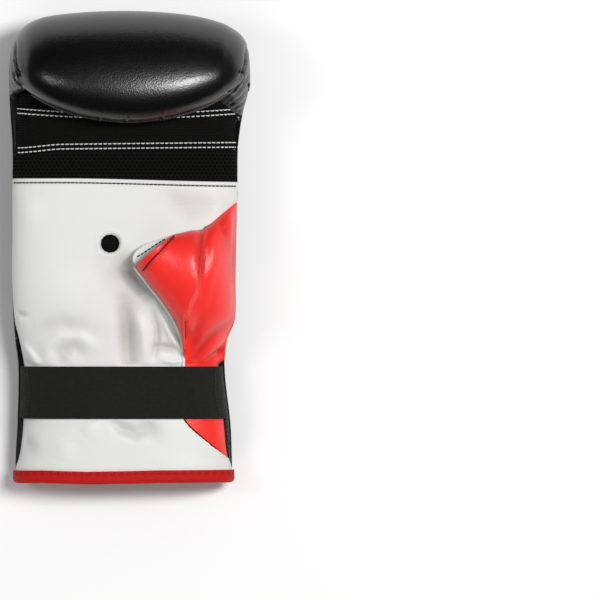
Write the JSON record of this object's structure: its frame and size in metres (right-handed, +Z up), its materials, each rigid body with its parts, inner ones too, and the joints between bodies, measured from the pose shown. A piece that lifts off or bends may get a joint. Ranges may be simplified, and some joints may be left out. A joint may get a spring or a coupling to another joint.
{
  "type": "bag glove",
  "caption": "Padded right-hand bag glove on its back, with a rolled knuckle pad, mesh finger bands, leather palm, open thumb stall and elastic wrist strap.",
  "frame": {"origin": "on the floor under the middle of the glove's box", "axes": "+Y from the cuff's hem to the knuckles, +X towards the thumb side, +Z up out of the palm"},
  "size_m": [0.14, 0.2748, 0.093],
  "materials": {
    "black_leather": "satin, fine grain",
    "white_leather": "satin, fine grain",
    "red_leather": "satin, fine grain",
    "black_mesh": "matte knitted mesh",
    "black_elastic": "matte woven elastic",
    "red_tape": "matte woven tape"
  },
  "bodies": {
    "root": {"back_pad": "black_leather", "cuff_back": "black_leather", "palm_panel": "white_leather", "vent_mesh": "black_mesh", "lower_mesh": "black_mesh", "grip_band": "black_mesh", "finger_mesh": "black_mesh", "thumb_outer": "red_leather", "thumb_inner": "white_leather", "wrist_strap": "black_elastic", "hem_binding": "red_tape"}
  },
  "joints": []
}
